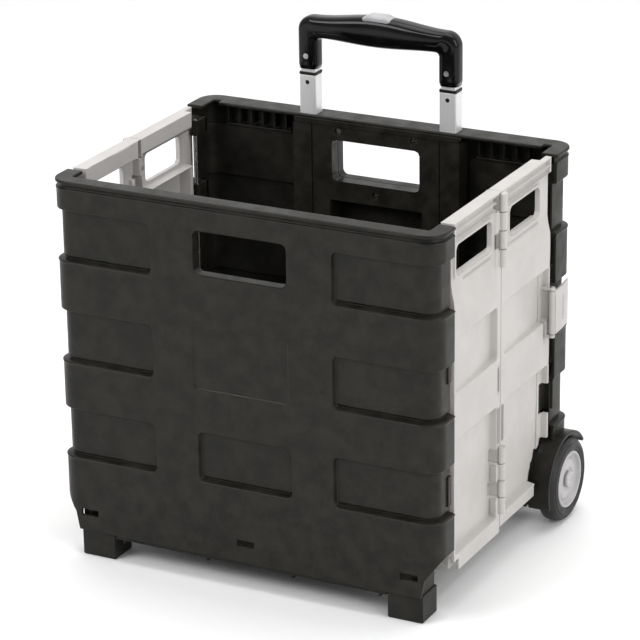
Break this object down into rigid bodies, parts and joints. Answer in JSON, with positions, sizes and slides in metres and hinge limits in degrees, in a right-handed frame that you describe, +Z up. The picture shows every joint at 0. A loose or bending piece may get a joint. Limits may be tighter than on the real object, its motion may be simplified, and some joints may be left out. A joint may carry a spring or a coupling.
{
  "type": "folding shopping trolley",
  "caption": "Folding shopping trolley: a plastic crate with hinged sides and a lift-up floor, two rear wheels, front block feet and a telescopic push-button handle.",
  "frame": {"origin": "centre of the trolley's own box in plan, on the ground under the feet and wheels", "axes": "+Z up, +X to the right seen from the front, -Y towards the front panel, +Y towards the wheels and handle"},
  "size_m": [0.422, 0.325, 0.491],
  "materials": {
    "black_plastic": "moulded, faintly textured, semi-gloss",
    "grey_plastic": "moulded, smooth, light warm grey",
    "handle_tube": "satin anodised tube",
    "grip_black": "high gloss",
    "button_grey": "smooth",
    "tyre_black": "solid rubber tyre",
    "wheel_grey": "silver-grey painted plastic",
    "steel": "plated steel"
  },
  "bodies": {
    "rear_frame": {"rear_panel": "black_plastic", "tube_cover": "black_plastic", "cover_screw_1": "steel", "cover_screw_2": "steel", "cover_screw_3": "steel", "cover_screw_4": "steel", "cover_screw_5": "steel", "outer_tube_right": "handle_tube", "outer_tube_left": "handle_tube", "tube_end_plug_right": "black_plastic", "tube_end_plug_left": "black_plastic", "wheel_axle_right": "steel", "wheel_axle_left": "steel", "floor_hinge_pin": "steel", "rear_hinge_pin_right": "steel", "rear_hinge_pin_left": "steel"},
    "wheel_right": {"tyre_right": "tyre_black", "wheel_rim_right": "wheel_grey", "hub_cap_right": "wheel_grey"},
    "wheel_left": {"tyre_left": "tyre_black", "wheel_rim_left": "wheel_grey", "hub_cap_left": "wheel_grey"},
    "handle_mid": {"mid_tube_right": "handle_tube", "mid_tube_left": "handle_tube", "mid_collar_right": "black_plastic", "mid_collar_left": "black_plastic", "mid_glide_right": "black_plastic", "mid_glide_left": "black_plastic"},
    "handle_top": {"inner_tube_right": "handle_tube", "inner_tube_left": "handle_tube", "inner_glide_right": "black_plastic", "inner_glide_left": "black_plastic", "lock_rod_right": "steel", "lock_rod_left": "steel", "grip": "grip_black", "grip_screw_right": "steel", "grip_screw_left": "steel", "button_spring": "steel"},
    "button": {"release_button": "button_grey"},
    "floor": {"floor_panel": "black_plastic"},
    "rear_side_right": {"rear_side_panel_right": "grey_plastic", "top_middle_pin_right": "steel", "low_middle_pin_right": "steel", "latch_pin_right": "steel"},
    "rear_side_left": {"rear_side_panel_left": "grey_plastic", "top_middle_pin_left": "steel", "low_middle_pin_left": "steel", "latch_pin_left": "steel"},
    "front_side_right": {"front_side_panel_right": "grey_plastic"},
    "front_side_left": {"front_side_panel_left": "grey_plastic"},
    "front_panel": {"front_panel": "black_plastic", "front_hinge_pin_right": "steel", "front_hinge_pin_left": "steel", "foot_right": "black_plastic", "foot_left": "black_plastic"},
    "latch_right": {"latch_right": "grey_plastic"},
    "latch_left": {"latch_left": "grey_plastic"}
  },
  "joints": [
    {"name": "fold", "type": "hinge", "parent": "rear_frame", "child": "rear_side_right", "pos_m": [0.1845, 0.09045, 0.2], "axis": [0, 0, -1], "range_deg": [0, 88]},
    {"name": "fold_middle_right", "type": "hinge", "parent": "rear_side_right", "child": "front_side_right", "pos_m": [0.1975, -0.01955, 0.2], "axis": [0, 0, -1], "range_deg": [-176, 0]},
    {"name": "fold_front", "type": "hinge", "parent": "front_side_right", "child": "front_panel", "pos_m": [0.1845, -0.12955, 0.2], "axis": [0, 0, -1], "range_deg": [0, 88]},
    {"name": "fold_rear_left", "type": "hinge", "parent": "rear_frame", "child": "rear_side_left", "pos_m": [-0.1845, 0.09045, 0.2], "axis": [0, 0, -1], "range_deg": [-88, 0]},
    {"name": "fold_middle_left", "type": "hinge", "parent": "rear_side_left", "child": "front_side_left", "pos_m": [-0.1975, -0.01955, 0.2], "axis": [0, 0, -1], "range_deg": [0, 176]},
    {"name": "floor_lift", "type": "hinge", "parent": "rear_frame", "child": "floor", "pos_m": [0, 0.11845, 0.0363], "axis": [-1, 0, 0], "range_deg": [0, 90]},
    {"name": "handle_mid_slide", "type": "slide", "parent": "rear_frame", "child": "handle_mid", "axis": [0, 0, 1], "range_m": [0, 0.26]},
    {"name": "handle_top_slide", "type": "slide", "parent": "handle_mid", "child": "handle_top", "axis": [0, 0, 1], "range_m": [0, 0.26]},
    {"name": "button_press", "type": "slide", "parent": "handle_top", "child": "button", "axis": [0, 0, -1], "range_m": [0, 0.003], "stiffness_N_per_m": 400, "springref_m": -0.002, "deforming": ["button_spring"]},
    {"name": "latch_right_swing", "type": "hinge", "parent": "rear_side_right", "child": "latch_right", "pos_m": [0.2008, 0.09045, 0.2215], "axis": [0, 0, 1], "range_deg": [-150, 0]},
    {"name": "latch_left_swing", "type": "hinge", "parent": "rear_side_left", "child": "latch_left", "pos_m": [-0.2008, 0.09045, 0.2215], "axis": [0, 0, -1], "range_deg": [-150, 0]},
    {"name": "wheel_right_spin", "type": "hinge", "parent": "rear_frame", "child": "wheel_right", "pos_m": [0.2, 0.11945, 0.042], "axis": [1, 0, 0], "continuous": true},
    {"name": "wheel_left_spin", "type": "hinge", "parent": "rear_frame", "child": "wheel_left", "pos_m": [-0.2, 0.11945, 0.042], "axis": [1, 0, 0], "continuous": true}
  ],
  "couplings": [
    {"joint": "fold_middle_right", "follows": "fold", "ratio": -2},
    {"joint": "fold_front", "follows": "fold", "ratio": 1},
    {"joint": "fold_rear_left", "follows": "fold", "ratio": -1},
    {"joint": "fold_middle_left", "follows": "fold", "ratio": 2}
  ]
}
